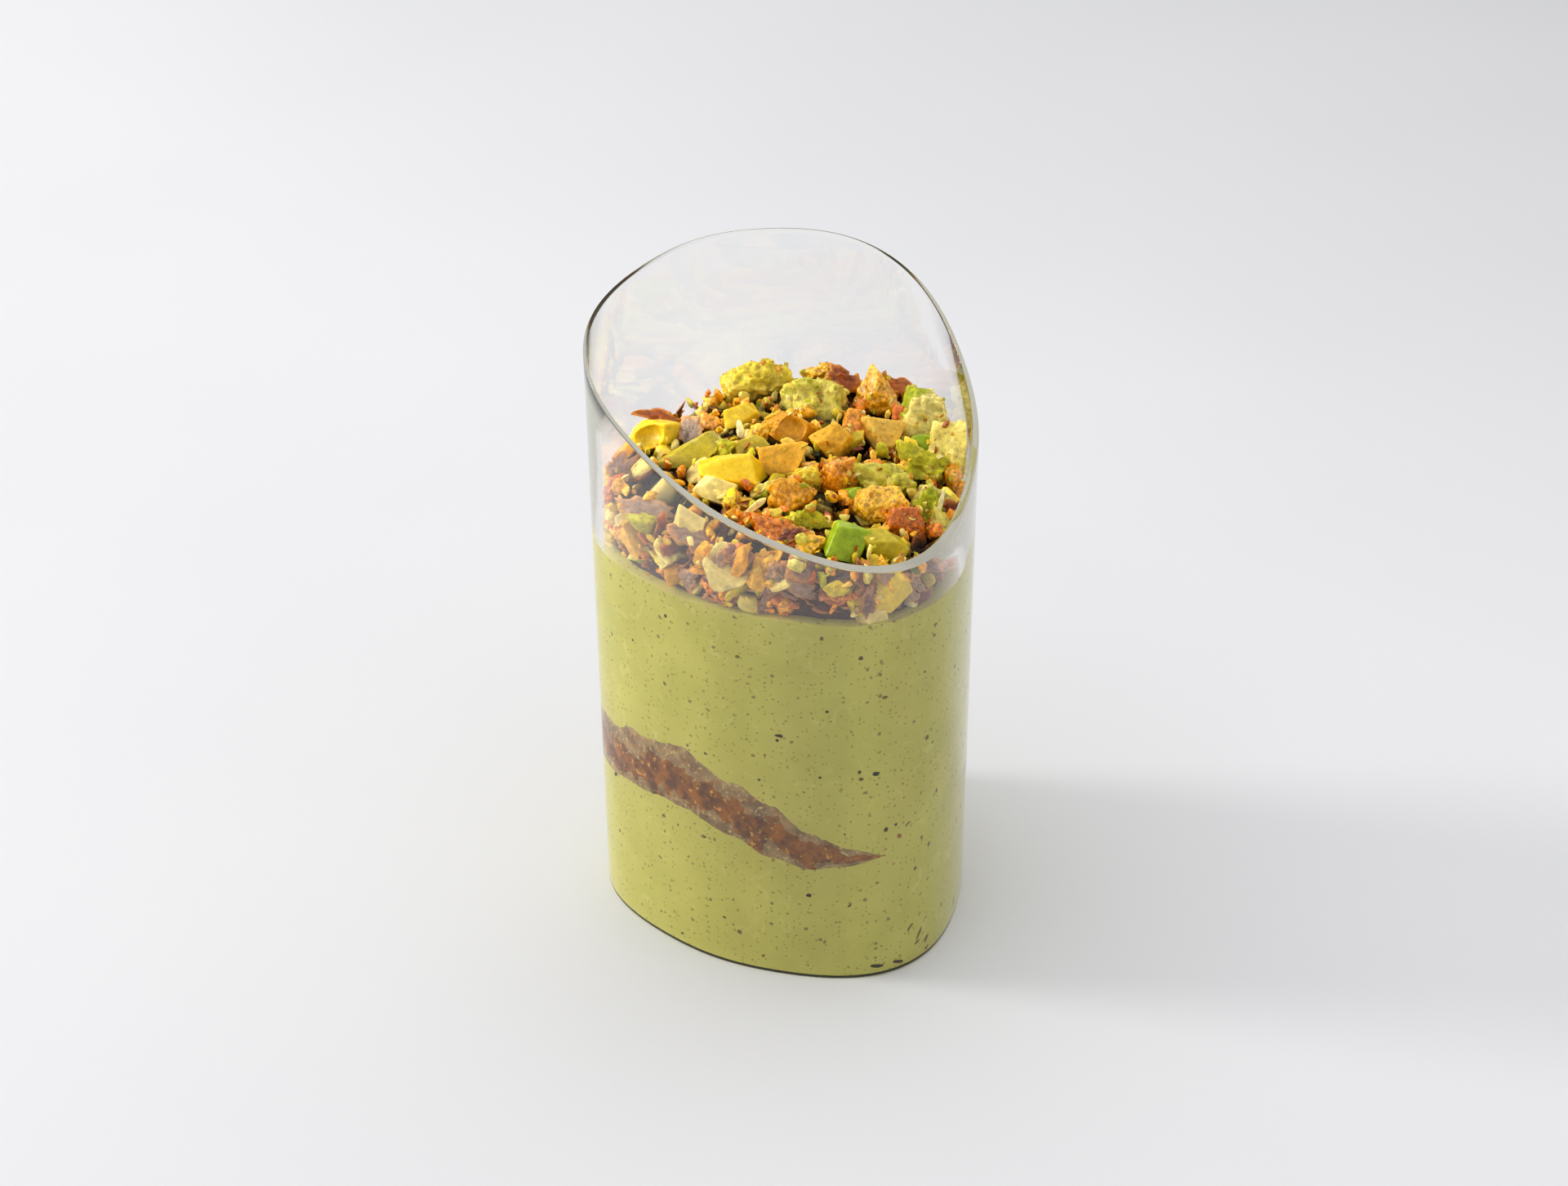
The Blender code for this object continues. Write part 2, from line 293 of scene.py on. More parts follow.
# Light trapped in the wall leaves it after its third reflection through a painted shade: a dark tint near the
# mouth that draws the rim's dark line, a paler grey one below
ray = add_node(tree, "ShaderNodeLightPath").outputs
trapped = do("GREATER_THAN", ray["Glossy Depth"], 2.5)
over_mouth = add_node(tree, "ShaderNodeVectorMath", {0: place, 1: (0, -RIM_SLOPE, 1)}, operation="DOT_PRODUCT")
near_mouth = stretch(tree, over_mouth.outputs["Value"], RIM_HEIGHT - 0.0058, RIM_HEIGHT - 0.0030)
painted_rim_band = do("MULTIPLY", stretch(tree, height, 0.0690, 0.0745), near_mouth)
painted_trapped_shade = blend(tree, painted_rim_band, (0.58, 0.57, 0.47), (0.10, 0.10, 0.09))
dims = do("MULTIPLY", trapped, do("LESS_THAN", ray["Transparent Depth"], 0.5))
through = add_node(tree, "ShaderNodeBsdfTransparent", {"Color": blend(tree, dims, (1, 1, 1), painted_trapped_shade)})
leaves = do("MAXIMUM", trapped, ray["Is Shadow Ray"])
either = add_node(
    tree, "ShaderNodeMixShader", {"Fac": leaves, 1: filmed.outputs["Shader"], 2: through.outputs["BSDF"]}
)
tree.links.new(either.outputs["Shader"], tree.nodes["Material Output"].inputs["Surface"])

tree, given, result = new_tree(
    "three_cornered_section", ("Radius", MEAN_RADIUS), ("Corner Swell", CORNER_SWELL),
    ("Side Flatten", SIDE_FLATTEN), ("Draft", DRAFT), ("Rim Height", RIM_HEIGHT),
    ("Rim Slope", RIM_SLOPE), ("Foot", 0.003), ("Thinning From", 0.0625), ("Thinning", 29.0),
)
do = sums_in(tree)
where = add_node(tree, "GeometryNodeInputPosition").outputs["Position"]
x, y, z = add_node(tree, "ShaderNodeSeparateXYZ", {"Vector": where}).outputs
size = given.outputs
angle = do("ARCTAN2", y, x)
turned = do("SQRT", do("ADD", do("MULTIPLY", x, x), do("MULTIPLY", y, y)))
inset = do("SUBTRACT", TURNED_RADIUS, turned)
turn = do("ADD", angle, pi / 2)
swell = do("MULTIPLY", size["Corner Swell"], do("COSINE", do("MULTIPLY", turn, 3.0)))
flatten = do("MULTIPLY", size["Side Flatten"], do("COSINE", do("MULTIPLY", turn, 6.0)))
shape = do("ADD", do("ADD", swell, flatten), 1.0)
at_floor = do("SUBTRACT", do("MULTIPLY", size["Radius"], shape), inset)
# Above the foot, heights are stretched to meet the mouth's slope
lean = do("MULTIPLY", size["Rim Slope"], do("SINE", angle))
rim_over = do("ADD", size["Rim Height"], do("MULTIPLY", lean, at_floor))
rim_under = do("SUBTRACT", 1.0, do("MULTIPLY", lean, size["Draft"]))
rim = do("DIVIDE", rim_over, rim_under)
above = do("MAXIMUM", do("SUBTRACT", z, size["Foot"]), 0.0)
whole = do("SUBTRACT", size["Rim Height"], size["Foot"])
taller = do("DIVIDE", do("SUBTRACT", rim, size["Foot"]), whole)
height = do("ADD", do("MINIMUM", z, size["Foot"]), do("MULTIPLY", above, taller))
# The wall thins towards the high side of the mouth
over_start = do("MAXIMUM", do("SUBTRACT", height, size["Thinning From"]), 0.0)
thinned = do("MINIMUM", do("MULTIPLY", over_start, size["Thinning"]), 0.8)
at_floor = do("ADD", at_floor, do("MULTIPLY", inset, thinned))
radius = do("MAXIMUM", do("ADD", at_floor, do("MULTIPLY", height, size["Draft"])), 0.0)
across, back = do("MULTIPLY", radius, do("COSINE", angle)), do("MULTIPLY", radius, do("SINE", angle))
moved = add_node(tree, "ShaderNodeCombineXYZ", {"X": across, "Y": back, "Z": height}).outputs["Vector"]
done = size["Geometry"]
for kind, sockets in (
    ("GeometryNodeSetPosition", {"Position": moved}),
    ("GeometryNodeMergeByDistance", {"Distance": 0.000001}),
    ("GeometryNodeSetShadeSmooth", {}),
    ("GeometryNodeRealizeInstances", {}),
    ("GeometryNodeSetMaterial", {"Material": clear_plastic}),
):
    done = add_node(tree, kind, {"Geometry": done, **sockets}).outputs["Geometry"]
tree.links.new(done, result.inputs["Geometry"])
run_tree(clear_cup, tree, radius=MEAN_RADIUS, rim_height=RIM_HEIGHT, rim_slope=RIM_SLOPE)

bm = bmesh.new()
bm.from_mesh(clear_cup.data)
bmesh.ops.recalc_face_normals(bm, faces=bm.faces)
bm.to_mesh(clear_cup.data)
bm.free()
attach(clear_cup, "root")
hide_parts("cup")


# The cream: smooth pistachio cream poured to a level line, touching the cup's wall all round.
# It reaches just into the wall, so that no air shows between; dark specks are in its colour.

CREAM_LEVEL = 0.0580
REACH = 0.00006
CREAM_SEGMENTS = 240


def puck(name, rows, segments, radius_at, underside, upper_side, material):
    """A closed puck: a sphere whose rows are spread over its side and its two faces."""
    bm = bmesh.new()
    bmesh.ops.create_uvsphere(bm, u_segments=segments, v_segments=rows, radius=1)
    for vert in bm.verts:
        angle = atan2(vert.co.y, vert.co.x)
        out = hypot(vert.co.x, vert.co.y)
        reach = max(out, abs(vert.co.z))
        share = out / reach
        rise = (vert.co.z / reach + 1) / 2
        low = underside(angle, share)
        height = low + (upper_side(angle, share) - low) * rise
        radius = radius_at(angle, height) * share
        vert.co = (radius * cos(angle), radius * sin(angle), height)
    bmesh.ops.recalc_face_normals(bm, faces=bm.faces)
    made = new_piece(name, bm)
    made.data.shade_smooth()
    made.data.set_sharp_from_angle(angle=radians(40))
    made.data.materials.append(material)
    return made


def cream_surface(angle, share):
    """The cream's top: level, a little uneven where it meets the wall."""
    x, y = share * cos(angle), share * sin(angle)
    ripple = noise.noise(Vector((x * 2.2, y * 2.2, 3.0))) * 0.0006
    fine = noise.noise(Vector((x * 9, y * 9, 7.0))) * 0.00025
    return CREAM_LEVEL + (ripple + fine) * share


cream_look, tree, shader = new_material("pistachio_cream", {
    "Roughness": 0.42, "Subsurface Weight": 0.15, "Subsurface Scale": 0.0012,
    "Subsurface Radius": (1.0, 0.9, 0.4),
})
do = sums_in(tree)
place = on_piece(tree)
cream_tones = (0.35, (0.590, 0.548, 0.098)), (0.68, (0.665, 0.622, 0.128))
colour = ramp(tree, cloud(tree, place, 130.0, 5.0), *cream_tones)
# Smears, greener and paler: scale, where the noise starts and ends, colour
for scale, start, end, smear_colour in (
    (45.0, 0.52, 0.80, (0.50, 0.52, 0.075)),
    (300.0, 0.60, 0.72, (0.74, 0.68, 0.20)),
):
    smear = cloud(tree, place, scale, 3.0, Distortion=1.5)
    colour = blend(tree, stretch(tree, smear, start, end, 0.0, 0.55), colour, smear_colour)
# Specks of skin and kernel: scale of the cells, size of a speck in its cell, share of cells, colour
SPECKS = (
    (1500.0, 0.24, 0.50, (0.46, 0.39, 0.05)),
    (900.0, 0.20, 0.32, (0.42, 0.33, 0.05)),
    (620.0, 0.165, 0.20, (0.31, 0.22, 0.035)),
    (410.0, 0.124, 0.15, (0.18, 0.11, 0.018)),
    (330.0, 0.10, 0.10, (0.36, 0.13, 0.010)),
)
for scale, size, share, speck_colour in SPECKS:
    warp = add_node(tree, "ShaderNodeTexNoise", {"Vector": place, "Scale": scale * 2}).outputs["Color"]
    shift = {0: warp, 1: (0.35 / scale,) * 3, 2: place}
    bent = add_node(tree, "ShaderNodeVectorMath", shift, operation="MULTIPLY_ADD").outputs["Vector"]
    cells = add_node(tree, "ShaderNodeTexVoronoi", {"Vector": bent, "Scale": scale}).outputs
    pick = add_node(tree, "ShaderNodeSeparateColor", {"Color": cells["Color"]}).outputs["Red"]
    speck = do("MULTIPLY", do("LESS_THAN", cells["Distance"], size), do("LESS_THAN", pick, share))
    colour = blend(tree, speck, colour, speck_colour)
tree.links.new(colour, shader.inputs["Base Color"])

pistachio_cream = puck(
    "pistachio_cream", 32, CREAM_SEGMENTS,
    lambda angle, height: wall_radius(angle, height, WALL - REACH),
    lambda angle, share: FLOOR - REACH,
    cream_surface,
    cream_look,
)
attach(pistachio_cream, "root")
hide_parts("cream")


# The larger flecks: bits of brown skin and kernel in the cream, pressed flat against the wall.
# Each is a small worn lens, mostly in the cream, on the places that the eye notices.

# Degrees round from +X, height, length and width in mm, turn, darkness
FLECKS = (
    (191.1, 54.0, 0.53, 0.53, 0, 0.9), (232.8, 39.9, 1.28, 0.53, 0, 1.0), (231.7, 39.1, 0.53, 0.43, 0, 0.9),
    (256.9, 52.9, 0.73, 0.63, 0, 0.5), (263.9, 46.2, 0.85, 0.53, 10, 0.4), (261.7, 34.1, 1.29, 0.64, 0, 0.8),
    (256.8, 34.7, 0.64, 0.54, 60, 0.6), (257.3, 33.5, 0.75, 0.54, 0, 0.5), (245.3, 33.8, 0.43, 0.43, 0, 0.7),
    (264.9, 24.5, 0.54, 0.76, 0, 0.9), (267.9, 24.9, 0.43, 0.43, 0, 0.8), (271.9, 24.3, 0.98, 0.33, 40, 0.4),
    (242.0, 13.9, 0.88, 0.55, 0, 0.9), (277.2, 4.2, 2.01, 0.56, 60, 0.4), (273.6, 6.2, 1.33, 0.44, 50, 0.4),
    (280.6, 2.5, 1.35, 0.56, 55, 0.45), (276.5, 2.9, 1.12, 0.45, 30, 0.4), (263.3, 1.3, 2.45, 0.56, -15, 0.8),
    (269.5, 1.1, 1.56, 0.56, -20, 0.7), (301.4, 2.2, 1.83, 0.57, 75, 0.5), (309.4, 12.9, 1.58, 0.45, 80, 0.3),
    (163.2, 21.8, 1.34, 0.56, 30, 0.6), (164.3, 12.4, 0.56, 0.56, 0, 0.5), (187.0, 20.6, 0.66, 0.44, 0, 0.5),
    (204.4, 20.2, 0.77, 0.66, 0, 0.35), (175.9, 47.2, 0.43, 0.43, 0, 0.7), (218.5, 51.4, 0.63, 0.42, 20, 0.4),
    (225.4, 32.2, 0.43, 0.43, 0, 0.5), (278.5, 37.0, 0.86, 0.54, 70, 0.4), (283.7, 26.9, 0.76, 0.55, 80, 0.4),
    (247.3, 44.5, 0.53, 0.42, 0, 0.6), (211.9, 7.4, 0.56, 0.33, 0, 0.5), (193.9, 1.6, 0.68, 0.34, 30, 0.6),
    (246.8, 6.0, 0.55, 0.44, 0, 0.3), (254.3, 12.4, 0.66, 0.33, 40, 0.6), (207.4, 41.6, 0.75, 0.32, -30, 0.3),
)
random = Random(12)
more = [
    (random.uniform(-60, 150), random.uniform(2, 56), random.uniform(0.4, 1.3), random.uniform(0.3, 0.6),
     random.uniform(0, 180), random.uniform(0.3, 0.8))
    for _ in range(36)
]
bm = bmesh.new()
tones = bm.verts.layers.float.new("tone")
for at, height, length, width, turn, dark in (*FLECKS, *more):
    made = bmesh.ops.create_icosphere(bm, subdivisions=2, radius=1)["verts"]
    angle = radians(at)
    centre = Vector((0, 0, height / 1000))
    radius = wall_radius(angle, centre.z, WALL - REACH)
    out = Vector((cos(angle), sin(angle), 0))
    round_wall = Vector((-sin(angle), cos(angle), 0))
    centre += out * radius
    cosine, sine = cos(radians(turn)), sin(radians(turn))
    for vert in made:
        worn = 1 + noise.noise(vert.co * 1.3 + Vector((at, height, 0))) * 0.55
        x, y = vert.co.x * length / 2000 * worn, vert.co.y * width / 2000 * worn
        depth = vert.co.z * 0.00007
        spot = centre + round_wall * (x * cosine - y * sine)
        vert.co = spot + Vector((0, 0, x * sine + y * cosine)) + out * depth
        vert[tones] = dark
cream_flecks = new_piece("cream_flecks", bm)
cream_flecks.data.shade_smooth()

fleck_look, tree, shader = new_material("skin_fleck", {"Roughness": 0.5, "Specular IOR Level": 0.2})
dark = add_node(tree, "ShaderNodeAttribute", attribute_name="tone").outputs["Fac"]
mottled = sums_in(tree)("MULTIPLY_ADD", cloud(tree, on_piece(tree), 2600.0), 0.5, dark)
tint = ramp(tree, mottled, (0.4, (0.40, 0.26, 0.04)), (0.96, (0.045, 0.028, 0.010)))
tree.links.new(tint, shader.inputs["Base Color"])
cream_flecks.data.materials.append(fleck_look)
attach(cream_flecks, "root")
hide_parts("cream")


# The praline layer: nut crumbs in caramel, spread across the cream half way up the filling. It
# shows at the wall as a slanting streak, and the cream covers its edge at the cup's low corner.

# Degrees round from +X, height of the underside and of the upper side at the wall
LAYER_STATIONS = (
    (-50.0, 0.0208, 0.0212),
    (-35.0, 0.0198, 0.0248),
    (-10.0, 0.0200, 0.0275),
    (35.0, 0.0190, 0.0290),
    (100.0, 0.0210, 0.0295),
    (135.0, 0.0200, 0.0285),
    (161.0, 0.0215, 0.0313),
    (178.0, 0.0225, 0.0330),
    (196.0, 0.0230, 0.0345),
    (216.0, 0.0210, 0.0313),
    (230.0, 0.0186, 0.0289),
    (242.0, 0.0179, 0.0247),
    (255.0, 0.0189, 0.0221),
    (264.7, 0.0201, 0.0203),
)
LAYER_PROUD = 0.00010
LAYER_DEPTH = 0.0030
LAYER_STEPS = 420
LAYER_ROWS = 22


def layer_edges(at):
    """The layer's underside and upper side at the wall, eased between stations and ragged."""
    for (a, low_a, high_a), (b, low_b, high_b) in zip(LAYER_STATIONS, LAYER_STATIONS[1:]):
        if a <= at <= b:
            break
    share = (at - a) / (b - a)
    ease = share * share * (3 - 2 * share)
    low = low_a + (low_b - low_a) * ease
    high = high_a + (high_b - high_a) * ease
    ragged = min(1, (high - low) / 0.004)
    sway = noise.noise(Vector((at * 0.11, 0, 5))) * 0.0006
    jag = noise.noise(Vector((at * 0.5, 3, 5))) * 0.0002
    low += (sway + jag) * ragged
    sway = noise.noise(Vector((at * 0.13, 9, 1))) * 0.0008
    jag = noise.noise(Vector((at * 0.6, 4, 8))) * 0.0004
    high += (sway + jag) * ragged
    return low, high


bm = bmesh.new()
across = bm.verts.layers.float.new("across")
loops = []
first, last = LAYER_STATIONS[0][0], LAYER_STATIONS[-1][0]
for i in range(LAYER_STEPS + 1):
    at = first + (last - first) * i / LAYER_STEPS
    angle = radians(at)
    low, high = layer_edges(at)
    loop = []
    for row in range(LAYER_ROWS + 1):
        share = row / LAYER_ROWS
        height = low + (high - low) * share
        edge = min(1, 9 * min(share, 1 - share))
        proud = LAYER_PROUD * edge - 0.0002 * (1 - edge)
        radius = wall_radius(angle, height, WALL - REACH - proud)
        loop.append((radius, height, share))
    for share in (1.0, 0.5, 0.0):
        height = low + (high - low) * (0.2 + 0.6 * share)
        loop.append((wall_radius(angle, height, WALL + LAYER_DEPTH), height, share))
    ring = []
    for radius, height, share in loop:
        vert = bm.verts.new((radius * cos(angle), radius * sin(angle), height))
        vert[across] = share
        ring.append(vert)
    loops.append(ring)
for one, two in zip(loops, loops[1:]):
    count = len(one)
    for k in range(count):
        bm.faces.new((one[k], two[k], two[(k + 1) % count], one[(k + 1) % count]))
bm.faces.new(reversed(loops[0]))
bm.faces.new(loops[-1])
bmesh.ops.recalc_face_normals(bm, faces=bm.faces)
streak = new_piece("praline_streak", bm)
streak.data.shade_smooth()

streak_look, tree, shader = new_material("praline_behind_film", {"Roughness": 0.4})
do = sums_in(tree)
place = on_piece(tree)
share = add_node(tree, "ShaderNodeAttribute", attribute_name="across").outputs["Fac"]


def patches(scale, detail, start, end):
    """Where a rough noise of this scale passes from start to end."""
    return stretch(tree, cloud(tree, place, scale, detail, Roughness=0.62), start, end)


film = blend(tree, patches(420.0, 6.0, 0.40, 0.60), (0.220, 0.130, 0.060), (0.45, 0.29, 0.13))
film = blend(tree, patches(1700.0, 3.0, 0.56, 0.66), film, (0.68, 0.50, 0.18))
film = blend(tree, patches(900.0, 3.0, 0.60, 0.68), film, (0.46, 0.18, 0.02))
crumb = blend(tree, patches(420.0, 5.0, 0.40, 0.60), (0.120, 0.036, 0.002), (0.40, 0.130, 0.006))
crumb = blend(tree, patches(1000.0, 4.0, 0.59, 0.66), crumb, (0.70, 0.36, 0.06))
# The crumbs lie along the middle of the streak, with a ragged edge
from_middle = do("ABSOLUTE", do("SUBTRACT", share, 0.44))
ragged = do("SUBTRACT", patches(300.0, 6.0, 0.30, 0.70), do("MULTIPLY", from_middle, 1.9))
in_crumbs = stretch(tree, ragged, 0.04, 0.04 + 1 / 14)
colour = blend(tree, in_crumbs, film, crumb)
colour = blend(tree, do("LESS_THAN", share, 0.055), colour, (0.64, 0.56, 0.22))
colour = blend(tree, do("GREATER_THAN", share, 0.955), colour, (0.15, 0.10, 0.05))
tree.links.new(colour, shader.inputs["Base Color"])
relief = add_node(tree, "ShaderNodeBump", {"Strength": 0.6, "Distance": 0.0002, "Height": in_crumbs})
tree.links.new(relief.outputs["Normal"], shader.inputs["Normal"])
streak.data.materials.append(streak_look)
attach(streak, "root")
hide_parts("praline_layer")


# The bed of the heap: fine crumbs of nut and caramel packed between the larger pieces, coloured near black as
# painted shade in the gaps. Only its gaps show, so it is one bumpy body that stays under the pieces and just
# off the wall.

HEAP_HEIGHT = 0.0652
HEAP_OUTLINE = 0.065  # the height at which the heap's outline is taken from the wall
HEAP_RISE = 0.0012
HEAP_SWELL = 0.0028
BED_DROP = 0.0030


def heap_top(x, y):
    """The height that the centres of the topmost pieces lie at."""
    share = min(1.0, hypot(x, y) / wall_radius(atan2(y, x), HEAP_OUTLINE, WALL))
    return HEAP_HEIGHT + HEAP_RISE * y / 0.024 + HEAP_SWELL * (1 - share * share)


def bed_top(angle, share):
    """The bumpy top of the bed, under the topmost pieces."""
    radius = wall_radius(angle, HEAP_OUTLINE, WALL) * share
    x, y = radius * cos(angle), radius * sin(angle)
    bumps = noise.fractal(Vector((x, y, 0)) * 420, 1.0, 2.0, 4) * 0.0008
    return heap_top(x, y) - BED_DROP + bumps


def grain_group():
    """Shader group: blotches of colour and a crumbly or smooth grain, for every nut piece."""
    group = bpy.data.node_groups.new("nut_grain", "ShaderNodeTree")
    for title, value in (("Blotch Scale", 500.0), ("Grain Scale", 2200.0), ("Grain Depth", 0.0002)):
        socket = group.interface.new_socket(title, in_out="INPUT", socket_type="NodeSocketFloat")
        socket.default_value = value
    for title, kind in (("Blotch", "Float"), ("Grain", "Float"), ("Normal", "Vector")):
        group.interface.new_socket(title, in_out="OUTPUT", socket_type="NodeSocket" + kind)
    given = add_node(group, "NodeGroupInput").outputs
    place = on_piece(group)
    blotch = cloud(group, place, given["Blotch Scale"], 4.0)
    grain = cloud(group, place, given["Grain Scale"], 4.0, Roughness=0.7)
    relief = {"Strength": 1.0, "Distance": given["Grain Depth"], "Height": grain}
    normal = add_node(group, "ShaderNodeBump", relief).outputs["Normal"]
    add_node(group, "NodeGroupOutput", {"Blotch": blotch, "Grain": grain, "Normal": normal})
    return group


nut_grain = grain_group()


def nut_material(name, colours, side_colour, grain_scale, grain_depth, roughness,
                 gloss=0.0, glow=0.1, pit_shade=0.3, painted_glints=None):
    """A nut's look: a colour for each piece, another on its skin side, blotches, grain, worn edges, and
    painted light and shade on the grain, edges, hollows and deep in the heap.
    """
    made, tree, shader = new_material(name, {
        "Roughness": roughness, "Specular IOR Level": 0.3 + 0.5 * gloss,
        "Coat Weight": gloss, "Coat Roughness": 0.15,
        "Subsurface Weight": glow, "Subsurface Scale": 0.0005, "Subsurface Radius": (1.0, 0.5, 0.1),
    })
    how_grainy = {"Grain Scale": grain_scale, "Grain Depth": grain_depth}
    grain = add_node(tree, "ShaderNodeGroup", how_grainy, node_tree=nut_grain).outputs
    tone, skin, depth = (
        add_node(tree, "ShaderNodeAttribute", attribute_name=title).outputs["Fac"]
        for title in ("tone", "skin", "depth")
    )
    # Pointiness: paler worn edges with painted light, and painted shade in the hollows
    edges = add_node(tree, "ShaderNodeNewGeometry").outputs["Pointiness"]
    sway = sums_in(tree)("MULTIPLY_ADD", grain["Blotch"], 0.30, tone)
    last = len(colours) - 1
    stops = ((min(1.0, (0.15 + k / last) / 1.15), colour) for k, colour in enumerate(colours))
    colour = blend(tree, skin, ramp(tree, sway, *stops), side_colour)
    # Painted light and shade: brighter grain tops with darker pits, edges paler from wear and from painted
    # light with painted shade in the hollows, and painted shade deep in the heap: source, its range, and the
    # brightness it gives
    for source, start, end, dark, light in (
        (grain["Grain"], 0.32, 0.60, 1.06 - pit_shade, 1.16 + pit_shade * 0.30),
        (edges, 0.44, 0.56, 0.68, 1.28),
        (depth, 0.0, 1.0, 1.0, 0.07),
    ):
        colour = blend(tree, 1.0, colour, stretch(tree, source, start, end, dark, light), "MULTIPLY")
    # Painted glints: golden dots where the grain is highest
    if painted_glints:
        colour = blend(tree, stretch(tree, grain["Grain"], 0.63, 0.70), colour, painted_glints)
    tree.links.new(colour, shader.inputs["Base Color"])
    tree.links.new(grain["Normal"], shader.inputs["Normal"])
    return made


# Painted shade: the bed's near-black colours stand for the shade in the gaps between the pieces
bed_look = nut_material(
    "packed_crumbs", ((0.045, 0.010, 0.003), (0.15, 0.040, 0.006)), (0.2, 0.1, 0.02), 1800.0, 0.0004, 0.6
)
nut_bed = puck(
    "nut_bed", 64, 180,
    lambda angle, height: wall_radius(angle, height, WALL + 0.0016),
    lambda angle, share: CREAM_LEVEL - 0.0004,
    bed_top,
    bed_look,
)
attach(nut_bed, "root")
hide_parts("chopped_nuts")


# The yellow kernels: pistachios chopped across, with smooth waxy cut faces and a thin greenish skin
# side. Each is a ball cut flat on several sides, then worn a little; they lie loose in the heap.

def ball_directions(detail):
    """The directions and faces of an even ball, from which the pieces are cut."""
    bm = bmesh.new()
    bmesh.ops.create_icosphere(bm, subdivisions=detail, radius=1)
    points = np.array([v.co.normalized()[:] for v in bm.verts])
    faces = np.array([[v.index for v in f.verts] for f in bm.faces])
    bm.free()
    return points, faces


BALLS = {detail: ball_directions(detail) for detail in (2, 3, 5)}
# A piece is darkened by painted shade over PAINTED_SHADE_OVER of depth in the heap, from PAINTED_SHADE_FROM
# under the heap's surface, which lies HEAP_SKIN over the topmost centres. Above OPEN_HEIGHT the wall no longer
# hides it.
HEAP_SKIN = 0.0012
PAINTED_SHADE_FROM = 0.0005
PAINTED_SHADE_OVER = 0.0018
OPEN_HEIGHT = 0.066


def facing_camera(turn, lean=0.0, tip=0.0):
    """Axes for a piece whose length runs at this angle in the picture, tilted a little."""
    base = Matrix((CAMERA_RIGHT, CAMERA_UP, CAMERA_BACK)).transposed()
    return base @ Matrix.Rotation(radians(turn), 3, "Z") @ Euler((radians(lean), radians(tip), 0)).to_matrix()


class Pieces:
    """Collects the loose pieces of one kind, and makes them one mesh."""

    def __init__(self):
        self.points, self.faces, self.tones, self.skins, self.painted_depth_shades = [], [], [], [], []
        self.count = 0

    def add(self, points, faces, tone, skins):
        kept = []
        for x, y, z in points:
            z = max(z, CREAM_LEVEL - 0.0008)
            out = hypot(x, y)
            limit = wall_radius(atan2(y, x), z, WALL + 0.00012)
            if out > limit:
                x, y = x * limit / out, y * limit / out
            kept.append((x, y, z))
            from_wall = limit - out + (0.0 if z < OPEN_HEIGHT else 0.002)
            buried = min(heap_top(x, y) + HEAP_SKIN - z, from_wall)
            # Painted shade: the deeper a piece lies in the heap or behind the wall, the darker it is painted
            self.painted_depth_shades.append(min(1.0, max(0.0, (buried - PAINTED_SHADE_FROM) / PAINTED_SHADE_OVER)))
        self.points.extend(kept)
        self.faces.extend((faces + self.count).tolist())
        self.tones.extend([tone] * len(kept))
        self.skins.extend(skins)
        self.count += len(kept)

    def make(self, name, material, smooth=32):
        mesh = bpy.data.meshes.new(name)
        mesh.from_pydata(self.points, [], self.faces)
        # The depth attribute carries the painted shade deep in the heap
        for title, values in (("tone", self.tones), ("skin", self.skins), ("depth", self.painted_depth_shades)):
            layer = mesh.attributes.new(title, "FLOAT", "POINT")
            layer.data.foreach_set("value", np.array(values, dtype=np.float32))
        mesh.materials.append(material)
        mesh.shade_smooth()
        mesh.set_sharp_from_angle(angle=radians(smooth))
        made = bpy.data.objects.new(name, mesh)
        bpy.context.collection.objects.link(made)
        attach(made, "root")
        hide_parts("chopped_nuts")
        return made


SKEW = 0.38  # how far the cuts may lean


def chopped(pieces, place, size, axes, random, tone, detail=5, sharp=40, wear=0.08, crumb=0.0,
            hollow=0.0, skinned=0.2):
    """One chopped piece: its length, width and depth lie along the three axes."""
    directions, faces = BALLS[detail]
    normals, reaches = [], []
    for axis in ((1, 0, 0), (-1, 0, 0), (0, 1, 0), (0, -1, 0), (0, 0, 1), (0, 0, -1)):
        spread = [random.uniform(-SKEW, SKEW) for _ in range(3)]
        normals.append(Vector(axis) + Vector(spread))
        reaches.append(random.uniform(0.78, 1.0))
    for _ in range(5):
        normals.append(Vector([random.uniform(-1, 1) for _ in range(3)]))
        reaches.append(random.uniform(0.80, 1.05))
    planes = np.array([n.normalized()[:] for n in normals])
    towards = np.maximum(directions @ planes.T / np.array(reaches), 1e-4)
    radius = (towards ** sharp).sum(axis=1) ** (-1 / sharp)
    shape = directions * radius[:, None] * (np.array(size) / 2)
    if hollow:
        bowl = np.clip(1 - ((directions[:, 0] / 0.62) ** 2 + (directions[:, 1] / 0.62) ** 2), 0, 1)
        shape[:, 2] -= np.where(directions[:, 2] > 0, bowl ** 0.6 * hollow * size[2], 0)
    seed = Vector([random.uniform(0, 50) for _ in range(3)])
    worn = []
    for point, way in zip(shape, directions):
        spot = Vector(point) * 1000
        push = noise.fractal(spot * 0.5 + seed, 1.0, 2.0, 4) * wear
        if crumb:
            ridge = 0.3 - abs(noise.noise(spot * 0.75 + seed)) * 1.6
            push += ridge * crumb + noise.fractal(spot * 1.9 + seed, 0.7, 2.1, 4) * crumb * 0.5
        worn.append(Vector(point) + Vector(way) * push * 0.001)
    side = np.array(Vector([random.uniform(-1, 1) for _ in range(3)]).normalized()[:])
    skins = np.clip((directions @ side - 0.55) * 5, 0, 1) * (1 if random.random() < skinned else 0)
    centre = Vector(place)
    pieces.add([axes @ point + centre for point in worn], faces, tone, skins.tolist())


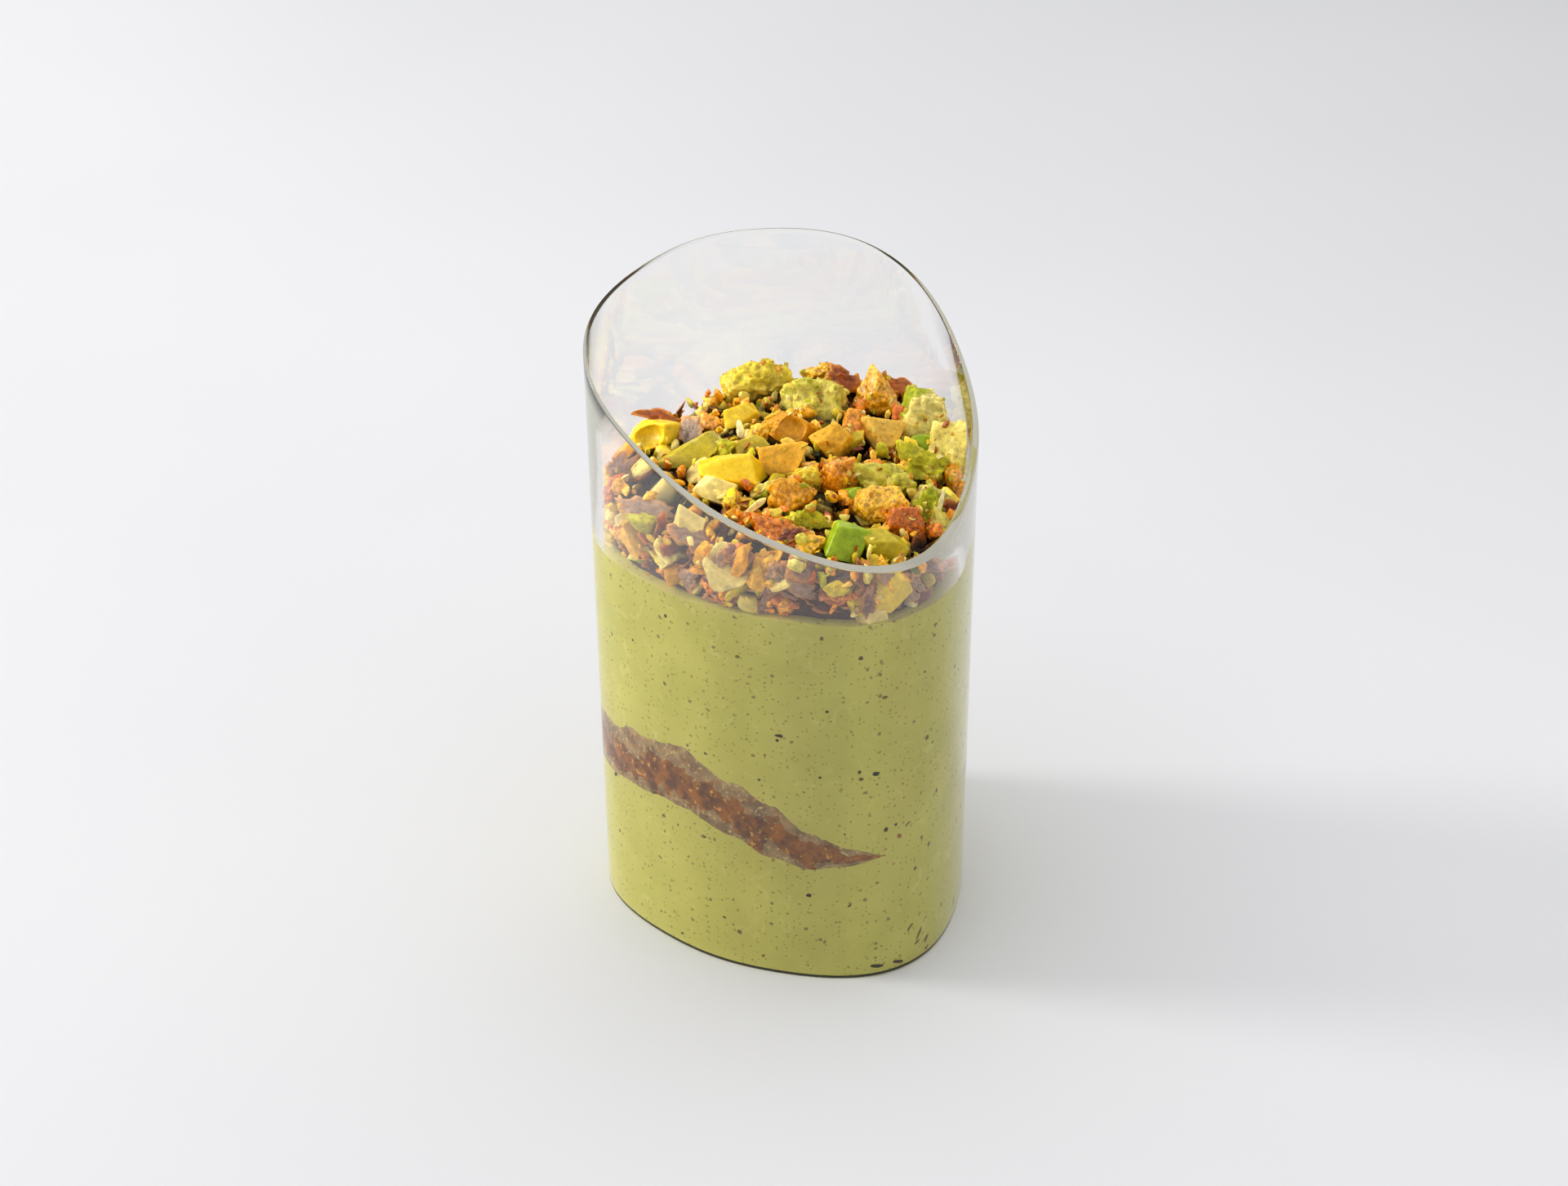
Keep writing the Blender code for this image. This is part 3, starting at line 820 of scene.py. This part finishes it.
def seated(place, width):
    """A piece's place in metres, moved away along the line of sight until it clears the cup's wall."""
    spot = Vector(place) / 1000
    sight = (spot - CAMERA_PLACE).normalized()
    for _ in range(26):
        room = wall_radius(atan2(spot.y, spot.x), spot.z, WALL) - hypot(spot.x, spot.y)
        if spot.z > 0.0685 or room > width * 0.00042:
            break
        spot += sight * 0.0001
    return spot


def tumbled(random):
    """Axes turned at random, for a piece that has fallen anyhow."""
    return Euler([random.uniform(0, 2 * pi) for _ in range(3)]).to_matrix()


TOP_PLACES = 150
SIDE_ROWS, ROW_PLACES = 4, 34


def heap_gaps(random):
    """Places between the larger pieces: over the top, and in rows round the side."""
    places = []
    for i in range(TOP_PLACES):
        share = sqrt((i + 0.5) / TOP_PLACES)
        angle = i * pi * (3 - sqrt(5)) + random.uniform(-0.2, 0.2)
        radius = wall_radius(angle, HEAP_OUTLINE, WALL + 0.0022) * share
        x, y = radius * cos(angle), radius * sin(angle)
        places.append((x, y, heap_top(x, y) - random.uniform(0.0010, 0.0022)))
    for row in range(SIDE_ROWS):
        for i in range(ROW_PLACES):
            angle = 2 * pi * (i + 0.5 * row + random.uniform(-0.25, 0.25)) / ROW_PLACES
            height = CREAM_LEVEL + 0.0011 + 0.0019 * row + random.uniform(-0.0005, 0.0005)
            radius = wall_radius(angle, height, WALL + random.uniform(0.0016, 0.0022))
            places.append((radius * cos(angle), radius * sin(angle), height))
    random.shuffle(places)
    return places


gaps = heap_gaps(Random(3))


def fill_gaps(pieces, count, sizes, random, **how):
    """Fills the next places between the larger pieces with tumbled small ones."""
    for _ in range(count):
        place = gaps.pop()
        length = random.uniform(*sizes) / 1000
        size = (length, length * random.uniform(0.6, 0.9), length * random.uniform(0.45, 0.75))
        chopped(pieces, place, size, tumbled(random), random, random.random(), detail=3, **how)


def strew(pieces, count, sizes, random, **how):
    """Strews small bits over the top of the heap and down its side, tumbled."""
    for i in range(count):
        angle = random.uniform(0, 2 * pi)
        if i % 4:
            radius = wall_radius(angle, HEAP_OUTLINE, WALL + 0.001) * sqrt(random.random())
            x, y = radius * cos(angle), radius * sin(angle)
            place = (x, y, heap_top(x, y) + random.uniform(-0.0010, 0.0012))
        else:
            height = random.uniform(CREAM_LEVEL + 0.0006, 0.066)
            radius = wall_radius(angle, height, WALL + random.uniform(0.0006, 0.0012))
            place = (radius * cos(angle), radius * sin(angle), height)
        length = random.uniform(*sizes) / 1000
        size = (length, length * random.uniform(0.4, 0.9), length * random.uniform(0.3, 0.7))
        chopped(pieces, place, size, tumbled(random), random, random.random(), detail=2, **how)


def set_out(pieces, table, random, thick, tilt, **how):
    """Places the pieces that the eye picks out, each turned to its angle in the picture."""
    for place, (length, width), turn, tone, *hollow in table:
        size = (length / 1000, width / 1000, width * thick / 1000)
        axes = facing_camera(turn, random.uniform(-tilt, tilt), random.uniform(-tilt, tilt))
        chopped(pieces, seated(place, width), size, axes, random, tone, hollow=sum(hollow), **how)


# Place in mm, length and width as seen in mm, angle in the picture, tone, depth of a hollow
YELLOW = (
    ((-0.8, 13.0, 68.0), (5.2, 3.4), 5, 0.10, 0),
    ((0.4, -20.9, 65.3), (5.4, 4.4), -25, 0.55, 0),
    ((-12.7, 16.0, 67.4), (6.0, 5.0), 10, 0.05, 0.30),
    ((-10.7, 8.6, 68.2), (8.2, 2.9), 38, 0.57, 0),
    ((-9.4, 1.4, 68.1), (8.7, 5.1), -5, 0.00, 0),
    ((-12.7, -0.3, 67.3), (5.6, 3.7), -15, 0.85, 0),
    ((-5.9, 16.2, 67.2), (3.9, 2.0), -5, 0.80, 0),
    ((-4.0, 5.7, 68.1), (5.0, 2.4), 15, 0.50, 0),
    ((-19.4, -4.7, 66.6), (4.6, 2.8), -30, 0.85, 0),
    ((-19.9, -5.8, 59.6), (2.4, 1.5), 20, 0.2, 0),
    ((-17.6, -10.7, 63.4), (4.7, 4.4), 30, 0.98, 0),
    ((-1.9, -23.7, 62.0), (6.2, 6.2), 60, 0.20, 0),
    ((-3.9, -23.3, 58.8), (4.6, 3.8), 10, 0.95, 0),
    ((4.4, -23.0, 61.4), (3.0, 2.9), 60, 0.5, 0),
)
kernel_look = nut_material(
    "yellow_kernel",
    ((0.82, 0.52, 0.0), (0.80, 0.58, 0.04), (0.42, 0.33, 0.004), (0.80, 0.62, 0.18)),
    (0.44, 0.36, 0.02), 1500.0, 0.00006, 0.40, gloss=0.1, glow=0.1, pit_shade=0.15,
)
random = Random(21)
kernels = Pieces()
set_out(kernels, YELLOW, random, 0.8, 15, wear=0.12, skinned=0)
fill_gaps(kernels, 42, (2.2, 4.6), random, wear=0.12)
strew(kernels, 90, (0.7, 2.2), random, wear=0.1)
kernels.make("yellow_kernels", kernel_look)


# The rough kernels: pistachios broken and crumbled by the knife, matt and pitted, from mustard to
# lime. They are made as the yellow ones are, with a deep crumb on every face.

ROUGH = (
    ((5.4, 19.0, 68.4), (8.4, 5.8), 20, 0.30),
    ((10.1, 10.9, 68.3), (9.4, 6.6), -20, 0.75),
    ((20.2, -0.6, 67.4), (7.8, 7.0), 90, 0.60),
    ((18.0, -8.8, 65.8), (7.6, 5.2), 80, 0.45),
    ((14.0, -8.8, 66.9), (6.7, 3.9), -15, 0.85),
    ((6.9, -10.6, 67.1), (7.7, 4.3), 10, 0.80),
    ((11.1, -16.3, 65.6), (6.2, 4.9), -35, 0.65),
    ((-7.4, 6.9, 68.2), (3.4, 3.4), 60, 0.90),
    ((-1.9, -5.4, 67.9), (4.9, 3.2), 30, 0.20),
    ((-7.0, -4.2, 67.6), (4.9, 2.6), 10, 0.40),
    ((-6.9, -11.5, 66.7), (3.4, 2.3), 20, 0.95),
    ((-20.4, -3.2, 62.6), (5.1, 4.2), 30, 0.55),
    ((-21.5, 0.8, 60.0), (3.0, 3.4), 70, 0.60),
)
rough_look = nut_material(
    "broken_kernel",
    ((0.74, 0.46, 0.02), (0.66, 0.50, 0.03), (0.82, 0.67, 0.20), (0.48, 0.43, 0.012)),
    (0.34, 0.37, 0.006), 1150.0, 0.00024, 0.7, glow=0.06, pit_shade=0.42,
)
random = Random(35)
broken = Pieces()
set_out(broken, ROUGH, random, 0.75, 15, sharp=30, wear=0.45, crumb=0.34, skinned=0.6)
fill_gaps(broken, 62, (2.0, 4.6), random, sharp=26, wear=0.25, crumb=0.25)
strew(broken, 150, (0.7, 2.4), random, sharp=20, wear=0.2, crumb=0.1)
broken.make("rough_kernels", rough_look, smooth=50)


# The green pieces: slices from just under the pistachio's skin, vivid green, smooth and waxy.

GREEN = (
    ((16.3, -4.7, 66.6), (4.0, 3.1), 30, 0.4),
    ((-3.3, -18.0, 66.2), (5.8, 5.0), -5, 0.9),
    ((2.2, -10.6, 67.2), (2.9, 2.4), 0, 0.6),
)
green_look = nut_material(
    "green_kernel", ((0.22, 0.33, 0.002), (0.30, 0.42, 0.004)), (0.60, 0.55, 0.05), 900.0, 0.00004, 0.42,
    gloss=0.15, glow=0.15,
)
random = Random(42)
greens = Pieces()
set_out(greens, GREEN, random, 0.6, 12, wear=0.08, skinned=0)
fill_gaps(greens, 6, (1.8, 3.4), random, wear=0.08)
greens.make("green_slices", green_look)


# The tan pieces: blanched, lightly toasted kernels, ochre to pale tan, with broad smooth cuts.

TAN = (
    ((2.8, 5.8, 68.4), (6.5, 4.8), -25, 0.15, 0.25),
    ((6.2, 0.3, 68.1), (5.4, 4.6), 60, 0.45, 0),
    ((13.1, -0.6, 67.6), (5.4, 5.2), -30, 0.80, 0),
    ((-2.8, 0.2, 68.2), (4.9, 4.3), -10, 0.55, 0),
    ((-12.8, -6.1, 66.6), (3.6, 1.7), -20, 0.1, 0),
    ((-21.8, 2.6, 62.0), (4.7, 4.5), -50, 0.60, 0),
    ((-19.9, -5.0, 60.6), (4.2, 2.7), 10, 0.30, 0),
    ((-14.8, -14.9, 63.6), (4.3, 3.0), 70, 0.50, 0),
    ((0.1, -23.6, 60.0), (2.5, 2.3), 0, 0.0, 0),
)
tan_look = nut_material(
    "toasted_kernel", ((0.56, 0.22, 0.002), (0.76, 0.37, 0.01), (0.84, 0.51, 0.08)), (0.84, 0.62, 0.08),
    1200.0, 0.00010, 0.45, glow=0.06, pit_shade=0.3,
)
random = Random(57)
tans = Pieces()
set_out(tans, TAN, random, 0.8, 15, wear=0.10)
fill_gaps(tans, 34, (2.0, 4.4), random, wear=0.10)
strew(tans, 70, (0.7, 2.2), random, wear=0.1)
tans.make("tan_kernels", tan_look)


# The praline grit: crushed caramel set with nut crumbs, amber to dark brown, wet-looking, with
# painted golden glints. Lumps as large as the kernels, with a knobbly surface.

PRALINE = (
    ((17.5, 7.1, 67.6), (5.1, 5.1), -30, 0.75),
    ((9.9, 1.4, 68.3), (6.0, 3.4), 75, 0.55),
    ((1.8, -6.6, 67.9), (4.9, 4.7), 0, 0.50),
    ((-5.7, -7.6, 67.4), (5.9, 4.4), 70, 0.70),
    ((3.2, -14.2, 66.8), (5.9, 4.9), 20, 0.85),
    ((5.4, -18.1, 65.8), (5.5, 4.8), 0, 0.15),
    ((-10.1, -11.2, 66.2), (6.5, 4.2), -10, 0.25),
    ((-8.2, -15.9, 65.6), (3.4, 2.8), 60, 0.95),
    ((14.5, 17.0, 68.2), (4.9, 2.4), 10, 1.0),
    ((-4.5, 13.9, 67.5), (3.5, 2.4), -20, 0.6),
    ((-1.5, 7.2, 68.1), (3.3, 2.6), 60, 0.9),
    ((17.8, 1.7, 67.0), (2.8, 2.8), 0, 0.2),
    ((-20.8, 11.7, 64.4), (4.9, 4.9), 0, 0.90),
    ((-22.0, 5.8, 60.2), (3.4, 2.8), -60, 0.85),
    ((-7.0, -21.7, 61.5), (4.8, 2.9), 0, 0.3),
    ((-12.2, -17.4, 60.1), (3.6, 2.3), -10, 0.3),
    ((8.5, -20.6, 61.2), (3.2, 2.5), 0, 0.4),
    ((-20.9, 11.7, 60.6), (4.3, 2.8), 80, 0.8),
)
praline_look = nut_material(
    "caramel_grit", ((0.46, 0.070, 0.0005), (0.82, 0.24, 0.001), (0.90, 0.46, 0.01)), (0.70, 0.45, 0.05),
    1900.0, 0.00016, 0.18, gloss=0.35, glow=0.0, pit_shade=0.80, painted_glints=(1.0, 0.80, 0.28),
)
random = Random(68)
grit_lumps = Pieces()
set_out(grit_lumps, PRALINE, random, 0.8, 20, sharp=24, wear=0.35, crumb=0.20, skinned=0)
fill_gaps(grit_lumps, 74, (1.8, 4.2), random, sharp=16, wear=0.25, crumb=0.18, skinned=0)
strew(grit_lumps, 320, (0.6, 2.4), random, sharp=14, wear=0.15, crumb=0.1, skinned=0)
grit_lumps.make("praline_grit", praline_look, smooth=45)


# The skins: papery flakes of pistachio skin, dark red-brown to mauve, thin and curled. Each is a small
# ragged disc, bent and given a thickness.

SKIN_THICKNESS = 0.00022
SKIN_CURL = 0.22


def flake(pieces, place, size, axes, random, tone):
    """One thin curled flake with a ragged, paler edge."""
    rings, spokes = 7, 30
    seed = random.uniform(0, 100)
    across_curl = random.uniform(0.4, 1.0) * SKIN_CURL
    points, faces, pale = [], [], []
    for side in (1, -1):
        start = len(points)
        points.append(Vector((0, 0, side * SKIN_THICKNESS / 2)))
        pale.append(0.0)
        for ring in range(1, rings + 1):
            for spoke in range(spokes):
                angle = 2 * pi * spoke / spokes
                ragged = noise.fractal(Vector((cos(angle) * 1.7, sin(angle) * 1.7, seed)), 1, 2, 4) * 0.55
                out = ring / rings * (1 + ragged)
                x, y = out * cos(angle), out * sin(angle)
                bend = -across_curl * y * y * size[1] / 2 - 0.3 * SKIN_CURL * x * x * size[0] / 2
                wrinkle = noise.fractal(Vector((x * 3, y * 3, seed + 9)), 1, 2, 3) * 0.00030
                thin = SKIN_THICKNESS / 2 * (1 if ring < rings else 0.25)
                points.append(Vector((x * size[0] / 2, y * size[1] / 2, bend + wrinkle + side * thin)))
                pale.append(max(0.0, ring / rings - 0.6) * 1.6)
        for spoke in range(spokes):
            after = (spoke + 1) % spokes
            faces.append([start, start + 1 + spoke, start + 1 + after][::side])
            for ring in range(rings - 1):
                a = start + 1 + ring * spokes
                b = a + spokes
                faces.append([a + spoke, b + spoke, b + after][::side])
                faces.append([a + spoke, b + after, a + after][::side])
    top = 1 + (rings - 1) * spokes
    under = top + 1 + rings * spokes
    for spoke in range(spokes):
        after = (spoke + 1) % spokes
        faces.append([top + spoke, under + spoke, under + after])
        faces.append([top + spoke, under + after, top + after])
    centre = Vector(place)
    pieces.add([axes @ point + centre for point in points], np.array(faces), tone, pale)


SKINS = (
    ((15.6, 13.2, 69.0), (5.4, 2.9), -24, 0.12),
    ((20.8, 8.0, 68.8), (4.8, 2.6), -8, 0.0),
    ((-10.5, 17.5, 69.0), (6.8, 2.2), -10, 0.10),
    ((-21.4, 1.4, 66.6), (7.6, 2.9), -20, 0.60),
    ((-19.3, -6.7, 66.2), (6.5, 3.1), -25, 0.55),
    ((-16.3, -12.4, 65.9), (5.0, 2.6), -25, 0.40),
    ((-10.3, -19.1, 64.8), (6.2, 3.5), -20, 0.45),
    ((-16.8, -11.9, 60.0), (5.2, 2.7), 20, 0.50),
    ((-8.7, -20.7, 59.9), (4.8, 1.9), -10, 0.20),
    ((-20.4, 11.4, 66.7), (4.0, 2.5), -40, 0.50),
    ((-12.0, -17.3, 62.4), (5.8, 3.0), -25, 1.0),
    ((-8.6, 13.2, 68.2), (3.8, 3.6), 20, 0.72),
    ((-6.6, -22.0, 64.2), (4.1, 1.9), 0, 0.75),
    ((-9.5, -13.8, 66.9), (4.0, 2.2), 15, 0.3),
)
skin_look = nut_material(
    "nut_skin",
    ((0.44, 0.105, 0.004), (0.17, 0.026, 0.002), (0.20, 0.075, 0.05), (0.44, 0.28, 0.17), (0.14, 0.135, 0.13)),
    (0.62, 0.24, 0.02), 1500.0, 0.00012, 0.45, gloss=0.15, glow=0.05,
)
random = Random(74)
skins = Pieces()
for (x, y, z), (length, width), turn, tone in SKINS:
    axes = facing_camera(turn, random.uniform(-40, -10), random.uniform(-12, 12))
    flake(skins, (x / 1000, y / 1000, z / 1000), (length / 1000, width / 1000), axes, random, tone)
for _ in range(46):
    x, y, z = gaps.pop()
    length = random.uniform(2.4, 4.8) / 1000
    axes = tumbled(random)
    size = (length, length * random.uniform(0.4, 0.8))
    flake(skins, (x, y, z + 0.0004), size, axes, random, random.uniform(0, 0.7))
# Flat against the wall: every second one on the camera's side, the others round the far side
for k in range(64):
    angle = radians(random.uniform(195, 292) if k % 2 else random.uniform(-40, 140))
    height = random.uniform(CREAM_LEVEL + 0.0010, 0.0655)
    radius = wall_radius(angle, height, WALL + random.uniform(0.0005, 0.0011))
    outward = Matrix(((-sin(angle), 0, cos(angle)), (cos(angle), 0, sin(angle)), (0, 1, 0)))
    axes = outward @ Matrix.Rotation(random.uniform(0, 2 * pi), 3, "Z")
    length = random.uniform(2.2, 5.0) / 1000
    size = (length, length * random.uniform(0.35, 0.7))
    place = (radius * cos(angle), radius * sin(angle), height)
    flake(skins, place, size, axes, random, random.uniform(0.25, 0.72))
skins.make("skin_flakes", skin_look, smooth=80)


# The slivers: pale splinters of kernel, long and thin, lying across the other pieces. They are
# chopped pieces with soft, rounded cuts.

SLIVERS = (
    ((0.1, 0.2, 69.0), (5.2, 1.5), -50, 0.2),
    ((-10.5, -6.7, 67.6), (3.9, 1.2), 40, 0.6),
    ((10.2, -18.2, 65.9), (5.5, 0.8), 75, 0.9),
    ((-22.0, 4.2, 65.0), (7.4, 1.4), 25, 0.7),
    ((-3.0, 9.5, 68.6), (3.0, 0.9), 100, 0.8),
)
sliver_look = nut_material(
    "kernel_splinter", ((0.86, 0.60, 0.02), (0.88, 0.66, 0.16), (0.85, 0.72, 0.34)), (0.5, 0.5, 0.05),
    1500.0, 0.00010, 0.5, glow=0.2,
)
random = Random(83)
slivers = Pieces()
for (x, y, z), (length, width), turn, tone in SLIVERS:
    size = (length / 1000, width / 1000, width * 0.6 / 1000)
    chopped(slivers, (x / 1000, y / 1000, z / 1000), size, facing_camera(turn, 10, 10), random, tone,
            sharp=5, wear=0.12, skinned=0)
fill_gaps(slivers, 12, (2.0, 3.2), random, wear=0.1, skinned=0)
slivers.make("kernel_slivers", sliver_look)


# The crumbs: grains of kernel, caramel and skin under 1 mm, fallen between and on the larger pieces.
# They are spread by Geometry Nodes over the upward faces of the rough, tan and praline pieces and of the bed.

bm = bmesh.new()
for name in ("rough_kernels", "tan_kernels", "praline_grit", "nut_bed"):
    bm.from_mesh(bpy.data.objects[name].data)
crumbs = new_piece("crumbs", bm)

crumb_look, tree, shader = new_material("nut_crumbs", {"Roughness": 0.5})
tone = add_node(tree, "ShaderNodeAttribute", attribute_name="tone").outputs["Fac"]
CRUMB_COLOURS = (
    (0.64, 0.26, 0.006), (0.78, 0.54, 0.02), (0.80, 0.64, 0.10), (0.62, 0.52, 0.03),
    (0.84, 0.70, 0.22), (0.42, 0.10, 0.002), (0.76, 0.42, 0.02), (0.46, 0.45, 0.015),
)
tint = ramp(tree, tone, *((k / len(CRUMB_COLOURS), colour) for k, colour in enumerate(CRUMB_COLOURS)))
tint.node.color_ramp.interpolation = "CONSTANT"
tree.links.new(tint, shader.inputs["Base Color"])

CRUMB_DENSITY = 8e5
CRUMB_SEED = 9
SMALLEST, LARGEST = 0.00010, 0.00075
tree, given, result = new_tree(
    "scatter_crumbs", ("Density", CRUMB_DENSITY), ("Smallest", SMALLEST), ("Largest", LARGEST),
    ("Seed", CRUMB_SEED),
)
given = given.outputs
normal = add_node(tree, "GeometryNodeInputNormal").outputs["Normal"]
up = add_node(tree, "ShaderNodeSeparateXYZ", {"Vector": normal}).outputs["Z"]
upward = add_node(tree, "FunctionNodeCompare", {0: up, 1: 0.25}, operation="GREATER_THAN").outputs["Result"]
spread = add_node(tree, "GeometryNodeDistributePointsOnFaces", {
    "Mesh": given["Geometry"], "Selection": upward, "Density": given["Density"], "Seed": given["Seed"],
})
grain = add_node(tree, "GeometryNodeMeshCone", {
    "Vertices": 5, "Radius Top": 0.45, "Radius Bottom": 0.95, "Depth": 1.1,
})
# Most crumbs are small, and each is squashed and turned its own way
how_large = sums_in(tree)("POWER", add_node(tree, "FunctionNodeRandomValue").outputs[1], 3.5)
span = stretch(tree, how_large, 0.0, 1.0, given["Smallest"], given["Largest"])
which_tone = add_node(tree, "FunctionNodeRandomValue", {"Seed": 4}).outputs[1]
turn = add_node(tree, "FunctionNodeRandomValue", {"Max": (2 * pi,) * 3}, data_type="FLOAT_VECTOR").outputs[0]
squash = add_node(
    tree, "FunctionNodeRandomValue", {"Min": (0.5, 0.4, 0.3), "Max": (1.7, 1.1, 0.9), "Seed": 7},
    data_type="FLOAT_VECTOR",
).outputs[0]
size = add_node(tree, "ShaderNodeVectorMath", {0: squash, "Scale": span}, operation="SCALE").outputs["Vector"]
strewn = add_node(tree, "GeometryNodeInstanceOnPoints", {
    "Points": spread.outputs["Points"], "Instance": grain.outputs["Mesh"], "Rotation": turn, "Scale": size,
}).outputs["Instances"]
toned = add_node(
    tree, "GeometryNodeStoreNamedAttribute", {"Geometry": strewn, "Name": "tone", "Value": which_tone},
    data_type="FLOAT", domain="INSTANCE",
).outputs["Geometry"]
real = add_node(tree, "GeometryNodeRealizeInstances", {"Geometry": toned}).outputs["Geometry"]
finish = add_node(tree, "GeometryNodeSetMaterial", {"Geometry": real, "Material": crumb_look})
tree.links.new(finish.outputs["Geometry"], result.inputs["Geometry"])
run_tree(crumbs, tree, density=CRUMB_DENSITY, smallest=SMALLEST, largest=LARGEST, seed=CRUMB_SEED)
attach(crumbs, "root")
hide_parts("chopped_nuts")
